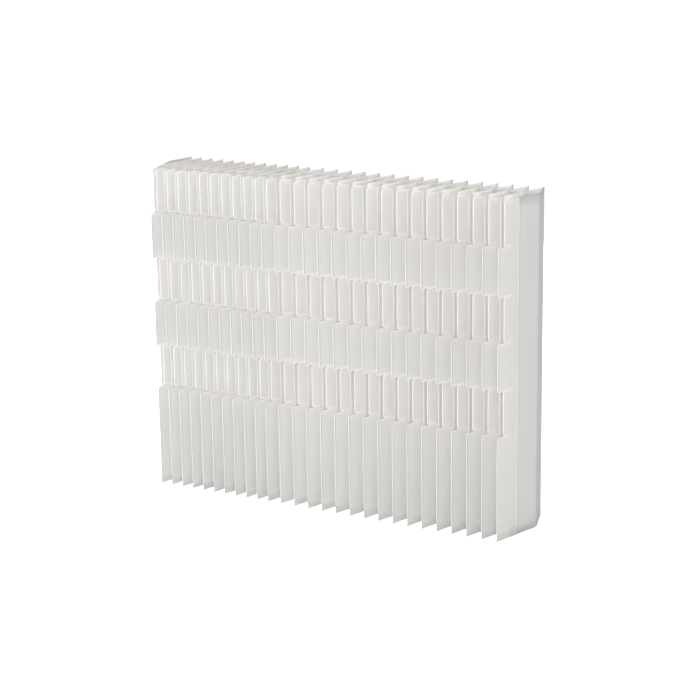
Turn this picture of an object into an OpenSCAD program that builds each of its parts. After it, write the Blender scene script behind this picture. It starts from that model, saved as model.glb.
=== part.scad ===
// Pleated paper screen: a free-standing honeycomb of creased sheets, glued to each other
// along alternate upright strips, with stepped front edges and a plain sheet at each end.
// X runs along the screen, -Y is the front, +Z is up. The origin is the middle of the base.

/* [Screen] */
// Height of every sheet
screen_h = 1600; // [1500:10:2000]
// Length of the screen when it is drawn out
screen_w = 2000; // [1700:10:2200]
// How much tighter the left block is pleated than the right block
left_tightness = 0.81; // [0.7:0.01:1]

/* [Paper] */
// Width of one sheet before it is creased
sheet_w = 430; // [400:5:480]
// Thickness of the paper
paper_t = 0.8; // [0.6:0.1:1.2]
// Width of each upright strip that is glued to the next sheet
strip_w = 12; // [8:1:16]
// Thickness of the glue between two strips
glue_t = 0.1; // [0.1:0.1:0.3]

/* [Stepped front edge] */
// Height of the full-depth foot
foot_h = 504; // [480:1:520]
// Height of each band that is cut back
recess_h = 213; // [200:1:220]
// Height of each full-depth band above the foot
proud_h = 229; // [215:1:235]
// How far the front edge is cut back
recess_depth = 42; // [26:1:50]
// Radius of the front corners of the bands
step_r = 12; // [4:1:16]
// Height of the slits between the bands
slit_h = 7; // [3:1:8]
// Depth of the slits between the bands
slit_depth = 100; // [66:1:110]

/* [Hidden] */
$fn = 48;
left_sheets = 22;
right_sheets = 32;
sheet_count = left_sheets + right_sheets;
panels = 3;
proud_bands = 2;
lap = 1;
crown_z = foot_h + proud_bands * (recess_h + proud_h);

// Glue planes stand square to X. One end sheet joins each block, so both blocks gain one space.
right_gap = screen_w / ((left_sheets + 1) * left_tightness + right_sheets + 1);
left_gap = right_gap * left_tightness;
function gap(i) = i <= left_sheets + 1 ? left_gap : right_gap;
function plane_x(i) = i == 0 ? -screen_w / 2 : plane_x(i - 1) + gap(i);

// A sheet keeps its flat width, so it gets shallower as its space gets wider.
panel_w = (sheet_w - (panels + 1) * strip_w) / panels;
function swing(i) = gap(i) - paper_t - glue_t;
function panel_depth(i) = sqrt(pow(panel_w, 2) - pow(swing(i), 2));
function depth(i) = (panels + 1) * strip_w + panels * panel_depth(i);

// Sheet i fills the space between planes i - 1 and i. Its strips lie on those planes in turn.
function strip_x(i, j) = (i + j) % 2 == 0
    ? plane_x(i) - (paper_t + glue_t) / 2
    : plane_x(i - 1) + (paper_t + glue_t) / 2;
function strip_y(i, j) = -depth(i) / 2 + j * (strip_w + panel_depth(i));
function crease_line(i, first) = [
    for (j = [first : panels], end = [0, 1]) [strip_x(i, j), strip_y(i, j) + end * strip_w]
];

// A line of points becomes a ribbon of constant thickness with mitred creases.
function unit(v) = v / norm(v);
function side_of(v) = [v[1], -v[0]];
function along(pts, n) = unit(pts[min(n + 1, len(pts) - 1)] - pts[min(n, len(pts) - 2)]);
function mitre(pts, n) = let(
    a = side_of(along(pts, max(n - 1, 0))),
    b = side_of(along(pts, n))
) (a + b) / (1 + a * b);
function edge(pts, off) = [for (n = [0 : len(pts) - 1]) pts[n] + off * mitre(pts, n)];
function reversed(pts) = [for (n = [len(pts) - 1 : -1 : 0]) pts[n]];
function ribbon(pts, t) = concat(edge(pts, t / 2), reversed(edge(pts, -t / 2)));

SHEETS = [for (k = [1 : sheet_count]) str("sheet_", k < 10 ? "0" : "", k)];

// One band of the front edge: a tab that starts at front and has round corners there. It
// laps the sheet behind it, so that they are one piece.
module band(front, z0, z1) {
    translate([front + step_r, z0]) square([slit_depth - front - step_r + lap, z1 - z0]);
    translate([front, z0 + step_r]) square([step_r, z1 - z0 - 2 * step_r]);
    for (z = [z0 + step_r, z1 - step_r]) translate([front + step_r, z]) circle(step_r);
}

// The die-cut outline of a sheet, seen along X, with its front edge at 0. A slit parts each
// band from the next, and the foot has a square corner on the floor.
module stepped_outline(d) {
    translate([slit_depth, 0]) square([d - slit_depth, screen_h]);
    band(0, 0, foot_h - slit_h / 2);
    square([slit_depth, step_r]);
    for (n = [0 : proud_bands - 1]) {
        z = foot_h + n * (recess_h + proud_h);
        band(recess_depth, z + slit_h / 2, z + recess_h - slit_h / 2);
        band(0, z + recess_h + slit_h / 2, z + recess_h + proud_h - slit_h / 2);
    }
    band(recess_depth, crown_z + slit_h / 2, screen_h);
}

// A creased sheet of the honeycomb, with the stepped front edge.
module stepped_sheet(i) {
    color("ivory") intersection() {
        linear_extrude(screen_h) polygon(ribbon(crease_line(i, 0), paper_t));
        translate([plane_x(i - 1) - lap, -depth(i) / 2, 0]) rotate([90, 0, 90])
            linear_extrude(gap(i) + 2 * lap) stepped_outline(depth(i));
    }
}

// An end sheet has a straight edge and starts at the second strip, behind the steps.
module end_sheet(i) {
    color("whitesmoke") linear_extrude(screen_h) polygon(ribbon(crease_line(i, 1), paper_t));
}

end_sheet(1);  // left_end_sheet
for (k = [1 : sheet_count]) stepped_sheet(k + 1);
end_sheet(sheet_count + 2);  // right_end_sheet
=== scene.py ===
"""The pleated paper screen: 56 creased paper sheets, glued into a honeycomb, on a pale floor."""

import math

import bpy
import numpy as np
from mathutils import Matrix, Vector


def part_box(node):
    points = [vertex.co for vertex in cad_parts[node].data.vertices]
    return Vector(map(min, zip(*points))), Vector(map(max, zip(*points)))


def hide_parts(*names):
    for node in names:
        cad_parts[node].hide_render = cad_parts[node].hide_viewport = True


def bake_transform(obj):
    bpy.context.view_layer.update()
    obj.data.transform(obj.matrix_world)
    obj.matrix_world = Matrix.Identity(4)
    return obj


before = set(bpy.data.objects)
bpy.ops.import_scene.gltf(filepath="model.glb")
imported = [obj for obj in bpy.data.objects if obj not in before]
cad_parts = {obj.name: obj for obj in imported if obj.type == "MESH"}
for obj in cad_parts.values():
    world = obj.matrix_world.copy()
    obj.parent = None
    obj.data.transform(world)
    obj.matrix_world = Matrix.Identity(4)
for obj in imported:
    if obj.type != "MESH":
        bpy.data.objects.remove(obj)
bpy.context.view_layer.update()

MM = 0.001

# ---------------------------------------------------------------- camera

PHOTO_SIDE = 700  # pixels of the square photograph
SENSOR = 36.0  # mm
CAMERA_AT = (4.575, -8.097, 3.338)
CAMERA_YAW = math.radians(29)  # turned from +Y towards -X
CAMERA_PITCH = math.radians(15.5)  # looking down
CAMERA_ROLL = math.radians(0.8)
CAMERA_REACH = 100  # m, the farthest that it sees
FOCAL_PIXELS = 2000


def place_camera():
    """A camera at the photograph's viewing angle."""
    data = bpy.data.cameras.new("camera")
    data.sensor_width = SENSOR
    data.lens = FOCAL_PIXELS / PHOTO_SIDE * SENSOR
    data.clip_end = CAMERA_REACH
    camera = bpy.data.objects.new("camera", data)
    camera.location = CAMERA_AT
    camera.rotation_mode = "XYZ"
    camera.rotation_euler = (math.pi / 2 - CAMERA_PITCH, CAMERA_ROLL, CAMERA_YAW)
    bpy.context.collection.objects.link(camera)
    bpy.context.scene.camera = camera


place_camera()

# ---------------------------------------------------------------- sizes of the sheets

STRIPS = 4  # of a stepped sheet, from front to back
END_STRIPS = 3
STRIP_WIDTH = 12 * MM
PAPER_SOLID = 0.8 * MM  # thickness of the paper in the frame's solids
PAPER = 1.1 * MM
CREASE_REACH = 5 * MM  # how far each side of a crease the paper is bent

# The front edge has a foot and five bands above it, cut back and full-depth in turn. The slits
# between them are lower than the solids' 7 mm, because the painted highlight along them adds to
# them.
BANDS = 6  # with the foot
FOOT_HEIGHT = 504 * MM
RECESS_HEIGHT = 213 * MM
PROUD_HEIGHT = 229 * MM
RECESS_DEPTH = 42 * MM
STEP_RADIUS = 12 * MM
SLIT_HEIGHT = 2.5 * MM
SLIT_DEPTH = 100 * MM
SCREEN_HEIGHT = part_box("sheet_01")[1].z

# Each panel bows out of flat by a height of its own and by slow waves up the sheet.
PANEL_BOW = 0.25  # mm
WAVE_BOW = 0.12  # mm
WAVE_LENGTHS = (1.9, 0.83, 0.37)  # m

# The grid of points on a sheet. The places are the columns in front of the slits' ends, from
# the front edge back.
PROUD_PLACES = np.array([0, 3.5, 7, 9, 12, 15, 17, 26, 42, 62, 82]) * MM
RECESS_PLACES = np.array([42, 45, 48, 51, 54, 58, 62, 68, 74, 82, 90]) * MM
PLAIN_PLACES = np.array([0, 3]) * MM
CORNER_REACH = 20 * MM  # how far behind the front edge its round corners still push the grid
COLUMN_SPACING = 22 * MM
ROW_SPACING = 55 * MM
PLACE_DECIMALS = 5  # in metres, so no two columns are closer than 0.01 mm
PLAIN_ROWS = 30
CREASE_POINTS = 5
CORNER_POINTS = 6

# The paper is painted lighter along its die-cut edges, a painted highlight, which fades back to the
# painted shade over as much again.
CUT_HIGHLIGHT_WIDTH = 3 * MM
NOSE_HIGHLIGHT_THINNING = 3  # times thinner along the front edges of the full-depth bands and the foot

# Painted shade on the faces that look out of the cells, from 0, as light as the painted light in
# the cells, to 1, in the bands that are cut back. The full-depth bands get a touch less painted
# shade, so that both look alike under the lamps, which light the cut-back bands more.
# The least painted shade, at the die-cut edges, where a painted highlight runs.
SHADE_AT_CUT = 0.25
PROUD_SHADE_SHARE = 0.93

SHEETS = sorted(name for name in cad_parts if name.startswith("sheet_"))

# ---------------------------------------------------------------- materials

CLOUD_SCALE, CLOUD_DETAIL = 14, 5
FIBRE_SCALE, FIBRE_DETAIL = (900, 900, 220), 3
FIBRE_SHARE = 0.4
PULP_NOISE = (0.35, 0.65)  # the noise that gives the darkest and the lightest pulp
PULP_TONES = (0.98, 1.0)
GRAIN_STRENGTH = 0.25
GRAIN_HEIGHT = 0.2 * MM
PAPER_ROUGHNESS = 0.85
PAPER_SPECULAR = 0.2


def new_material(name):
    """A new material, its node tree and its shader."""
    material = bpy.data.materials.new(name)
    material.use_nodes = True
    return material, material.node_tree, material.node_tree.nodes["Principled BSDF"]


def add_node(tree, kind, inputs=None, **settings):
    """A new shader node, with these settings and input values."""
    node = tree.nodes.new(f"ShaderNode{kind}")
    for name, value in settings.items():
        setattr(node, name, value)
    for socket, value in (inputs or {}).items():
        node.inputs[socket].default_value = value
    return node


def paper_material(name, shaded_colour, lit_colour, glow, through):
    """Uncoated paper: cloudy pulp, short fibres along the sheet, and a soft glow where light
    comes through. A vertex attribute paints light and shade into its colour: 0 gives the cream
    painted light of the cell interiors, 1 the grey painted shade of the faces that look out of
    the cells."""
    material, tree, shader = new_material(name)
    link = tree.links.new
    place = add_node(tree, "TexCoord")
    clouds = add_node(tree, "TexNoise", {"Scale": CLOUD_SCALE, "Detail": CLOUD_DETAIL})
    link(place.outputs["Object"], clouds.inputs["Vector"])
    fibre_space = add_node(tree, "Mapping", {"Scale": FIBRE_SCALE})
    link(place.outputs["Object"], fibre_space.inputs["Vector"])
    fibres = add_node(tree, "TexNoise", {"Scale": 1, "Detail": FIBRE_DETAIL})
    link(fibre_space.outputs["Vector"], fibres.inputs["Vector"])

    both = add_node(tree, "Mix", {"Factor": FIBRE_SHARE}, data_type="FLOAT")
    link(clouds.outputs["Fac"], both.inputs["A"])
    link(fibres.outputs["Fac"], both.inputs["B"])
    # Painted light and shade: the attribute mixes the cream lit colour into the grey shaded one.
    painted_shade = add_node(tree, "Attribute", attribute_name="painted_shade")
    pulp = add_node(tree, "Mix", {"A": (*lit_colour, 1), "B": (*shaded_colour, 1)}, data_type="RGBA")
    link(painted_shade.outputs["Fac"], pulp.inputs["Factor"])
    cloudy = add_node(
        tree,
        "MapRange",
        {
            "From Min": PULP_NOISE[0],
            "From Max": PULP_NOISE[1],
            "To Min": PULP_TONES[0],
            "To Max": PULP_TONES[1],
        },
    )
    link(both.outputs["Result"], cloudy.inputs["Value"])
    tint = add_node(tree, "Mix", {"Factor": 1}, data_type="RGBA", blend_type="MULTIPLY")
    link(pulp.outputs["Result"], tint.inputs["A"])
    link(cloudy.outputs["Result"], tint.inputs["B"])
    link(tint.outputs["Result"], shader.inputs["Base Color"])

    grain = add_node(tree, "Bump", {"Strength": GRAIN_STRENGTH, "Distance": GRAIN_HEIGHT})
    link(fibres.outputs["Fac"], grain.inputs["Height"])
    link(grain.outputs["Normal"], shader.inputs["Normal"])
    shader.inputs["Roughness"].default_value = PAPER_ROUGHNESS
    shader.inputs["Specular IOR Level"].default_value = PAPER_SPECULAR
    thin = add_node(tree, "BsdfTranslucent", {"Color": (*glow, 1)})
    link(grain.outputs["Normal"], thin.inputs["Normal"])
    mix = add_node(tree, "MixShader", {0: through})
    link(shader.outputs[0], mix.inputs[1])
    link(thin.outputs[0], mix.inputs[2])
    link(mix.outputs[0], tree.nodes["Material Output"].inputs["Surface"])
    return material


# The first colour is the grey painted shade of faces that look out of the cells, the second the
# cream painted light within the cells.
PLEAT_PAPER = paper_material(
    "pleat_paper",
    shaded_colour=(0.63, 0.631, 0.633),
    lit_colour=(0.992, 0.983, 0.968),
    glow=(0.992, 0.987, 0.978),
    through=0.5,
)
# End paper: grey painted shade on the face that looks out of the screen, cream painted light on the
# face towards the cells.
END_PAPER = paper_material(
    "end_paper",
    shaded_colour=(0.62, 0.621, 0.622),
    lit_colour=(0.985, 0.977, 0.965),
    glow=(0.97, 0.962, 0.95),
    through=0.4,
)
CUT_PAPER = paper_material(
    "cut_paper",
    shaded_colour=(0.87, 0.865, 0.857),
    lit_colour=(0.87, 0.865, 0.857),
    glow=(0.95, 0.943, 0.93),
    through=0.4,
)

# ---------------------------------------------------------------- one sheet of paper


def crease_corners(node, first_on_right):
    """Plan corners of a sheet's middle surface, from the front: each strip runs along Y on one
    glue plane, and the next on the other."""
    low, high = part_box(node)
    depth = high.y - low.y
    strips = STRIPS if node in SHEETS else END_STRIPS
    panel = (depth - strips * STRIP_WIDTH) / (strips - 1)
    inset = PAPER_SOLID / 2
    left, right = low.x + inset, high.x - inset
    start = low.y + np.arange(strips) * (STRIP_WIDTH + panel)
    on_right = (np.arange(strips) + first_on_right) % 2 == 1
    x = np.where(on_right, right, left)
    return np.stack([np.repeat(x, 2), np.stack([start, start + STRIP_WIDTH], 1).ravel()], 1)


def rounded_line(corners, reach, steps):
    """The line through the corners with every crease bent round: between a point that far before
    the corner and one that far after it, the line is the quadratic curve pulled towards the
    corner."""
    ends = corners[[0, -1]]
    middle = corners[1:-1]
    before = corners[:-2] - middle
    after = corners[2:] - middle
    before /= np.linalg.norm(before, axis=1)[:, None]
    after /= np.linalg.norm(after, axis=1)[:, None]
    t = np.linspace(0, 1, steps)[None, :, None]
    start, stop = (middle + reach * before)[:, None], (middle + reach * after)[:, None]
    arcs = (1 - t) ** 2 * start + 2 * t * (1 - t) * middle[:, None] + t**2 * stop
    return np.concatenate([ends[:1], arcs.reshape(-1, 2), ends[1:]])


def band_rows(front, low, high, round_low):
    """Heights and front edge of one band. A round corner is a quarter circle, sampled by its
    angle."""
    angle = np.linspace(0, math.pi / 2, CORNER_POINTS)
    rise = STEP_RADIUS * (1 - np.cos(angle))
    back = STEP_RADIUS * (1 - np.sin(angle))
    count = max(2, round((high - low) / ROW_SPACING))
    middle = np.linspace(low + STEP_RADIUS, high - STEP_RADIUS, count + 1)[1:-1]
    bottom = (low + rise, front + back) if round_low else (np.array([low]), np.array([front]))
    z = np.concatenate([bottom[0], middle, (high - rise)[::-1]])
    y = np.concatenate([bottom[1], np.full(len(middle), front), (front + back)[::-1]])
    return z, y


def stepped_rows():
    """Rows of the stepped front edge, from the floor up: height, front edge, number of the band,
    and how far the row is from the nearer end of its band."""
    gap = SLIT_HEIGHT / 2
    recess_top = FOOT_HEIGHT + RECESS_HEIGHT
    crown = FOOT_HEIGHT + 2 * (RECESS_HEIGHT + PROUD_HEIGHT)
    edges = [0.0, FOOT_HEIGHT, recess_top, recess_top + PROUD_HEIGHT]
    edges += [crown - PROUD_HEIGHT, crown, SCREEN_HEIGHT]
    rows = []
    for n in range(BANDS):
        low = edges[n] + (gap if n else 0)
        high = edges[n + 1] - (gap if n < BANDS - 1 else 0)
        z, y = band_rows(RECESS_DEPTH if n % 2 else 0.0, low, high, n > 0)
        rows.append((z, y, np.full(len(z), n), np.minimum(z - low, high - z)))
    return [np.concatenate(part) for part in zip(*rows)]


def plain_rows():
    """Rows of a straight front edge, with the same four values."""
    z = np.linspace(0, SCREEN_HEIGHT, PLAIN_ROWS)
    return z, np.zeros(PLAIN_ROWS), np.zeros(PLAIN_ROWS, int), np.full(PLAIN_ROWS, SCREEN_HEIGHT)


def bow(y, z, corners, seed):
    """How far the paper bows out of each panel: nothing at the creases and most in the panel's
    middle, as the square of a sine. Up the sheet it is the panel's own height plus three slow
    sine waves."""
    draw = np.random.default_rng(seed)
    panels = len(corners) // 2 - 1
    total = np.zeros(np.broadcast(y, z).shape)
    for p in range(panels):
        start, stop = corners[2 * p + 1, 1], corners[2 * p + 2, 1]
        across = np.clip((y - start) / (stop - start), 0, 1)
        waves = sum(
            draw.normal(0, 1) * np.sin(2 * math.pi * (z / length + draw.random()))
            for length in WAVE_LENGTHS
        )
        height = (WAVE_BOW * waves + draw.normal(0, PANEL_BOW)) * MM
        total += np.sin(math.pi * across) ** 2 * height
    return total


def sheet_faces(rows, cols, keep):
    """Quads of a grid of points with two sides and a rim. keep says which cells of the grid hold
    paper. The rim joins the two sides along every cell side that has paper on one hand only."""
    index = np.arange(rows * cols).reshape(rows, cols)
    a, b = index[:-1, :-1], index[:-1, 1:]
    c, d = index[1:, 1:], index[1:, :-1]
    front = np.stack([a, b, c, d], -1)[keep]
    other = rows * cols
    back = front[:, ::-1] + other
    sides = np.concatenate([front[:, [n, (n + 1) % 4]] for n in range(4)])
    key = np.sort(sides, 1)
    key = key[:, 0] * other + key[:, 1]
    _, where, count = np.unique(key, return_index=True, return_counts=True)
    border = sides[where[count == 1]]
    start, stop = border.T
    rim = np.stack([stop, start, start + other, stop + other], 1)
    return np.concatenate([front, back, rim]), len(front) * 2


def distance_to_cut(behind, front, ends):
    """How far a point is from the die-cut outline, from how far it is behind the band's front
    edge and from the band's nearer end: the lesser of the two, and in a round corner the radius
    less the distance to the corner's centre. Behind the front edge of a full-depth band the
    distance counts more, so that the painted highlight there is thinner."""
    into = (behind - front) * np.where(front < RECESS_DEPTH / 2, NOSE_HIGHLIGHT_THINNING, 1)
    corner = STEP_RADIUS - np.hypot(STEP_RADIUS - into, STEP_RADIUS - ends)
    in_corner = (into < STEP_RADIUS) & (ends < STEP_RADIUS)
    return np.where(in_corner, corner, np.minimum(into, ends))


def painted_shade_of_side(behind, cut, recessed, corners, first_on_right, right_side):
    """The painted shade of one side of a sheet: 0 within the cells, painted as light, and more on
    the faces that look out of the cells: least along the cuts, where a painted highlight runs,
    and most in the bands that are cut back. The front panel faces out on the side away from its
    first glue plane, and the back panel on the other side."""
    starts = corners[::2, 1] - corners[0, 1]
    front_out = right_side != first_on_right
    seen = (behind < starts[1]) if front_out else (behind > starts[-2] + STRIP_WIDTH)
    # A painted highlight along the die-cut edges: less painted shade there.
    shade_past_highlight = SHADE_AT_CUT + (1 - SHADE_AT_CUT) * np.clip((cut - CUT_HIGHLIGHT_WIDTH) / CUT_HIGHLIGHT_WIDTH, 0, 1)
    return np.where(seen, shade_past_highlight * np.where(recessed, 1, PROUD_SHADE_SHARE), 0.0)


def paper_piece(name, points, quads, rim_start, paper, painted_shade):
    """A mesh of quads: the sides in paper and the rim in cut paper."""
    used = np.unique(quads)
    renumber = np.zeros(len(points), int)
    renumber[used] = np.arange(len(used))
    mesh = bpy.data.meshes.new(name)
    mesh.from_pydata(points[used].tolist(), [], renumber[quads].tolist())
    mesh.materials.append(paper)
    mesh.materials.append(CUT_PAPER)
    in_rim = np.arange(len(quads)) >= rim_start
    mesh.polygons.foreach_set("material_index", in_rim.astype(np.int32))
    mesh.polygons.foreach_set("use_smooth", ~in_rim)
    painted_shade_values = mesh.attributes.new("painted_shade", "FLOAT", "POINT")
    painted_shade_values.data.foreach_set("value", painted_shade[used].astype(np.float32))
    mesh.update()
    piece = bpy.data.objects.new(name, mesh)
    bpy.context.collection.objects.link(piece)
    return piece


def paper_sheet(node, first_on_right, stepped, seed):
    """A creased sheet. Its middle surface is the plan line carried up Z; each point is its place
    along Y, from the front edge back, and its height. The two sides stand half the paper's
    thickness off it, square to the line."""
    corners = crease_corners(node, first_on_right)
    line = rounded_line(corners, CREASE_REACH, CREASE_POINTS)
    low_y = line[0, 1]
    z, front, band, ends = stepped_rows() if stepped else plain_rows()
    recess = (band % 2 == 1)[:, None]

    # Columns of the grid: the places near the front edge, then those behind the slits.
    lead = SLIT_DEPTH if stepped else STRIP_WIDTH / 2
    behind = line[:, 1] - low_y
    extra = np.arange(lead, behind[-1], COLUMN_SPACING)
    columns = np.concatenate([[lead], behind[behind > lead + MM], extra])
    columns = np.unique(np.round(columns, PLACE_DECIMALS))
    places = np.where(recess, RECESS_PLACES, PROUD_PLACES) if stepped else PLAIN_PLACES
    places = np.broadcast_to(places, (len(z), places.shape[-1]))
    edge = places[:, :1]
    pushed = (front[:, None] - edge) * np.clip(1 - (places - edge) / CORNER_REACH, 0, 1)
    columns = np.broadcast_to(columns, (len(z), len(columns)))
    y = low_y + np.concatenate([places + pushed, columns], 1)

    # Points of both sides.
    zz = np.broadcast_to(z[:, None], y.shape)
    x = np.interp(y, line[:, 1], line[:, 0]) + bow(y, zz, corners, seed)
    slope = np.gradient(line[:, 0], line[:, 1])
    slope = np.interp(y, line[:, 1], slope)
    length = np.sqrt(1 + slope**2)
    square = np.stack([1 / length, -slope / length, np.zeros_like(y)], -1)
    middle = np.stack([x, y, zz], -1)
    offset = PAPER / 2 * square
    points = np.concatenate([(middle + offset).reshape(-1, 3), (middle - offset).reshape(-1, 3)])

    # The slits hold no paper.
    keep = np.ones((len(z) - 1, y.shape[1] - 1), bool)
    slit = band[1:] != band[:-1]
    keep[np.ix_(slit, np.arange(places.shape[1]))] = False
    quads, rim_start = sheet_faces(*y.shape, keep)

    if stepped:
        behind = y - low_y
        ends = np.where(behind < lead, ends[:, None], SCREEN_HEIGHT)
        cut = distance_to_cut(behind, edge, ends)
        recessed = recess & (behind < corners[2, 1] - low_y)
        # Painted shade on the faces that look out of the cells and painted light within them, with
        # a painted highlight along the cuts.
        sides = [
            painted_shade_of_side(behind, cut, recessed, corners, first_on_right, right_side)
            for right_side in (True, False)
        ]
    else:
        # Plain end sheets: painted shade on the side facing out of the screen, painted light on the
        # side facing the cells.
        sides = [np.full(y.shape, float(node.startswith(side))) for side in ("right", "left")]
    painted_shade = np.concatenate([side.ravel() for side in sides])
    paper = PLEAT_PAPER if stepped else END_PAPER
    return paper_piece(f"paper_{node}", points, quads, rim_start, paper, painted_shade)


# ---------------------------------------------------------------- all sheets

FIRST_SEED = 100


def bend_between(piece):
    """Bakes the sheet's placement into its mesh."""
    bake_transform(piece)


def make_sheets():
    """Every sheet, from the left end to the right. Neighbours start on opposite glue planes."""
    for number, node in enumerate(["left_end_sheet", *SHEETS, "right_end_sheet"]):
        end = "end" in node
        piece = paper_sheet(node, (number + end) % 2 == 1, not end, seed=FIRST_SEED + number)
        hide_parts(node)
        if node == "left_end_sheet":
            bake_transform(piece)
        else:
            bend_between(piece)


make_sheets()

# ---------------------------------------------------------------- floor, world and lights

FLOOR_HALF = 40  # m
FLOOR_TONE = 0.9
FLOOR_GLOW = 0.65  # seen by the camera only
WORLD_LIGHT = 0.5
WHITE = (1, 1, 1, 1)

# Name, place, target, size in m, power in W, and how far the beam opens in degrees.
LAMPS = [
    ("key", (-4.4, -6.0, 3.4), (0, 0, 0.8), 3.0, 100, 180),
    ("front", (2.9, -8.1, 1.8), (0, 0, 0.7), 2.0, 640, 180),
    ("left_fill", (2.2, -8.1, 1.4), (-1.1, 0, 0.2), 1.0, 4, 30),
    ("back", (-1.5, 5.5, 2.0), (0, 0, 0.8), 3.0, 240, 180),
    ("right_back", (3.0, 5.2, 2.0), (1, 0, 0.8), 2.0, 80, 180),
]

# White paper passes light on from cell to cell many times.
MAX_BOUNCES = 32
DIFFUSE_BOUNCES = 24


def make_floor():
    """A wide pale floor that keeps the screen's shadow."""
    half = FLOOR_HALF
    corners = [(-half, -half, 0), (half, -half, 0), (half, half, 0), (-half, half, 0)]
    mesh = bpy.data.meshes.new("floor")
    mesh.from_pydata(corners, [], [(0, 1, 2, 3)])
    floor = bpy.data.objects.new("floor", mesh)
    bpy.context.collection.objects.link(floor)
    material, tree, shader = new_material("floor")
    link = tree.links.new
    shader.inputs["Base Color"].default_value = (FLOOR_TONE, FLOOR_TONE, FLOOR_TONE, 1)
    shader.inputs["Roughness"].default_value = 1
    shader.inputs["Specular IOR Level"].default_value = 0
    seen = add_node(tree, "LightPath")
    glow = add_node(tree, "Emission", {"Color": WHITE})
    lift = add_node(tree, "Math", {1: FLOOR_GLOW}, operation="MULTIPLY")
    link(seen.outputs["Is Camera Ray"], lift.inputs[0])
    link(lift.outputs[0], glow.inputs["Strength"])
    both = add_node(tree, "AddShader")
    link(shader.outputs[0], both.inputs[0])
    link(glow.outputs[0], both.inputs[1])
    link(both.outputs[0], tree.nodes["Material Output"].inputs["Surface"])
    mesh.materials.append(material)


def make_world():
    """White to the camera, and a soft even light on the screen."""
    world = bpy.data.worlds.new("studio")
    world.use_nodes = True
    tree = world.node_tree
    link = tree.links.new
    light = tree.nodes["Background"]
    light.inputs["Color"].default_value = WHITE
    light.inputs["Strength"].default_value = WORLD_LIGHT
    white = add_node(tree, "Background", {"Color": WHITE, "Strength": 1})
    seen = add_node(tree, "LightPath")
    pick = add_node(tree, "MixShader")
    link(seen.outputs["Is Camera Ray"], pick.inputs[0])
    link(light.outputs[0], pick.inputs[1])
    link(white.outputs[0], pick.inputs[2])
    link(pick.outputs[0], tree.nodes["World Output"].inputs["Surface"])
    bpy.context.scene.world = world


def area_light(name, at, target, size, power, spread):
    """A square lamp that faces its target. Its beam opens by spread degrees."""
    data = bpy.data.lights.new(name, "AREA")
    data.size = size
    data.energy = power
    data.spread = math.radians(spread)
    lamp = bpy.data.objects.new(name, data)
    lamp.location = at
    lamp.rotation_euler = (Vector(target) - Vector(at)).to_track_quat("-Z", "Y").to_euler()
    bpy.context.collection.objects.link(lamp)


make_floor()
make_world()
for lamp in LAMPS:
    area_light(*lamp)

bpy.context.scene.cycles.max_bounces = MAX_BOUNCES
bpy.context.scene.cycles.diffuse_bounces = DIFFUSE_BOUNCES
bpy.context.scene.view_settings.view_transform = "Standard"
